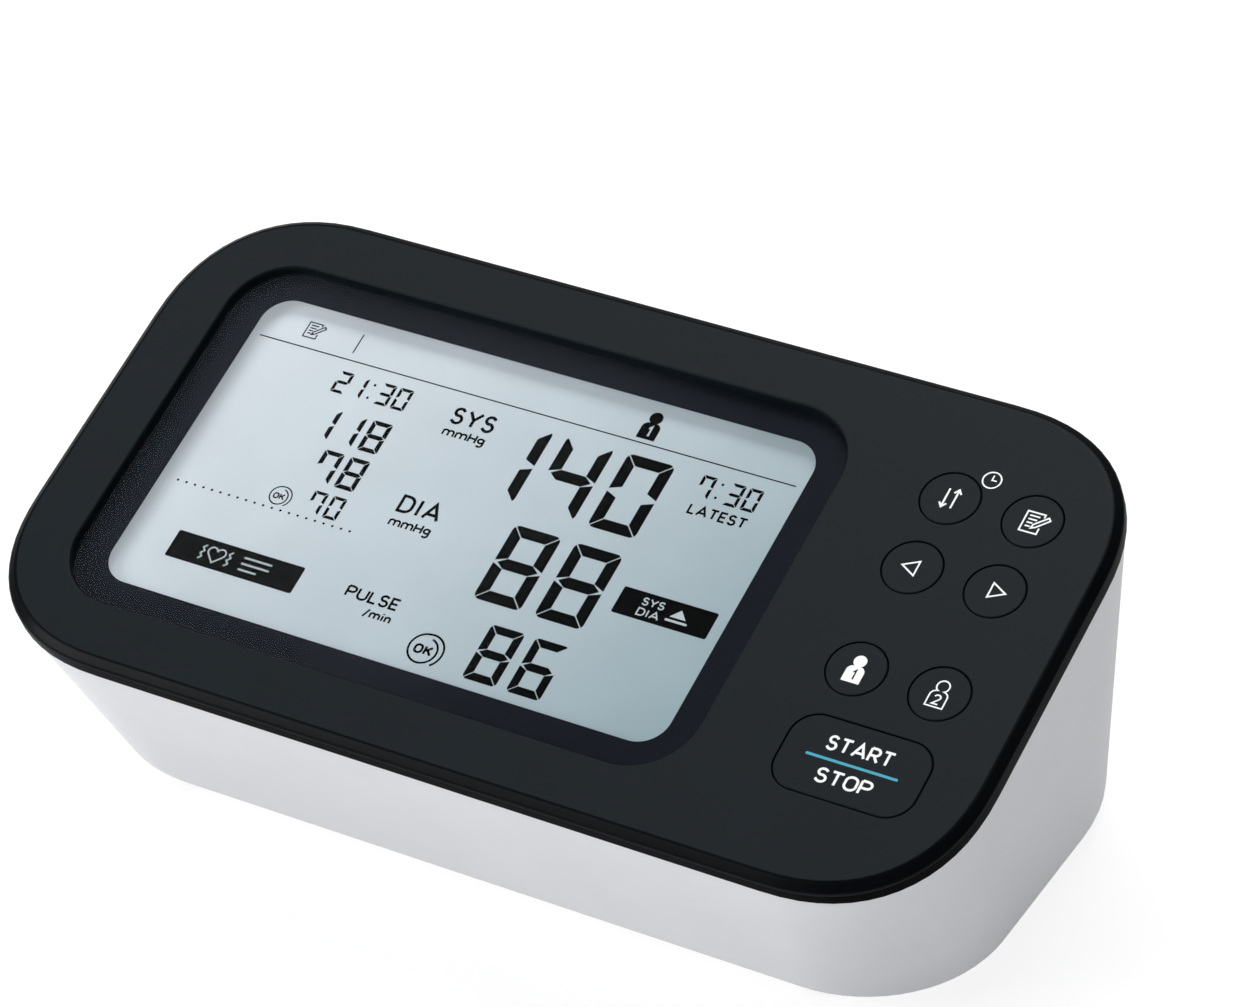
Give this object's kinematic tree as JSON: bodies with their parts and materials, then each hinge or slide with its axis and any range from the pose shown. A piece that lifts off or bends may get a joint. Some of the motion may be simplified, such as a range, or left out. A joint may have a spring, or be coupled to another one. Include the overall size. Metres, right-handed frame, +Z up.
{
  "type": "blood pressure monitor",
  "caption": "Table-top blood pressure monitor: wedge-shaped white body, tilted dark panel with a large sunk display and push keys, air socket on the left side.",
  "frame": {"origin": "centre of the bounding box at the level of the feet", "axes": "X is the width, to the right as the user sees it; +Y points to the back; +Z is up"},
  "size_m": [0.191, 0.1084, 0.075],
  "materials": {
    "dark_cover": "fine matt moulded plastic",
    "gloss_band": "gloss black moulded plastic",
    "white_body": "fine satin moulded plastic",
    "window": "clear hard-coated acrylic",
    "adhesive": "black foam tape",
    "lcd": "satin display polariser",
    "tray": "moulded plastic",
    "contact_rubber": "striped silicone rubber",
    "board": "glass fibre board, solder mask",
    "silicone": "silicone rubber",
    "chip": "moulded epoxy",
    "capacitor": "sleeved aluminium can",
    "radio": "screened module",
    "sensor": "moulded plastic",
    "motor_can": "plated steel",
    "pump_plastic": "moulded plastic",
    "foam": "soft foam",
    "valve_body": "plated steel",
    "junction": "moulded plastic",
    "tube": "silicone tube",
    "socket_grey": "moulded plastic",
    "socket_black": "moulded plastic",
    "cell": "sleeved steel can",
    "contact_metal": "nickel plated steel",
    "foot_rubber": "grey rubber",
    "screw_steel": "zinc plated steel",
    "dark_key": "fine matt moulded plastic"
  },
  "bodies": {
    "root": {"body_shell": "white_body", "rim_trim": "gloss_band", "front_cover": "dark_cover", "display_window": "window", "window_gasket": "adhesive", "lcd_glass": "lcd", "lcd_frame": "tray", "zebra_strips": "contact_rubber", "main_board": "board", "keypad_mat": "silicone", "processor": "chip", "capacitors": "capacitor", "buzzer": "chip", "wireless_module": "radio", "pressure_sensor": "sensor", "pump_motor": "motor_can", "pump_head": "pump_plastic", "pump_sleeve": "foam", "release_valve": "valve_body", "air_manifold": "junction", "air_tubes": "tube", "air_jack": "socket_grey", "dc_jack": "socket_black", "dc_pin": "contact_metal", "battery_cells": "cell", "battery_springs": "contact_metal", "battery_plates": "contact_metal", "rubber_feet": "foot_rubber", "case_screws": "screw_steel", "board_screws": "screw_steel"},
    "sync_key": {"sync_button": "dark_key"},
    "memory_key": {"memory_button": "dark_key"},
    "back_key": {"back_button": "dark_key"},
    "forward_key": {"forward_button": "dark_key"},
    "user_1_key": {"user_1_button": "dark_key"},
    "user_2_key": {"user_2_button": "dark_key"},
    "start_stop_key": {"start_stop_button": "dark_key"},
    "battery_lid": {"battery_cover": "white_body"}
  },
  "joints": [
    {"name": "sync_press", "type": "slide", "parent": "root", "child": "sync_key", "axis": [0, 0.342, -0.9397], "range_m": [0, 0.0008], "stiffness_N_per_m": 1800},
    {"name": "memory_press", "type": "slide", "parent": "root", "child": "memory_key", "axis": [0, 0.342, -0.9397], "range_m": [0, 0.0008], "stiffness_N_per_m": 1800},
    {"name": "back_press", "type": "slide", "parent": "root", "child": "back_key", "axis": [0, 0.342, -0.9397], "range_m": [0, 0.0008], "stiffness_N_per_m": 1800},
    {"name": "forward_press", "type": "slide", "parent": "root", "child": "forward_key", "axis": [0, 0.342, -0.9397], "range_m": [0, 0.0008], "stiffness_N_per_m": 1800},
    {"name": "user_1_press", "type": "slide", "parent": "root", "child": "user_1_key", "axis": [0, 0.342, -0.9397], "range_m": [0, 0.0008], "stiffness_N_per_m": 1800},
    {"name": "user_2_press", "type": "slide", "parent": "root", "child": "user_2_key", "axis": [0, 0.342, -0.9397], "range_m": [0, 0.0008], "stiffness_N_per_m": 1800},
    {"name": "start_stop_press", "type": "slide", "parent": "root", "child": "start_stop_key", "axis": [0, 0.342, -0.9397], "range_m": [0, 0.0008], "stiffness_N_per_m": 2400},
    {"name": "battery_cover_open", "type": "hinge", "parent": "root", "child": "battery_lid", "pos_m": [-0.0217, -0.0097, 0.0025], "axis": [-1, 0, 0], "range_deg": [0, 90]}
  ]
}
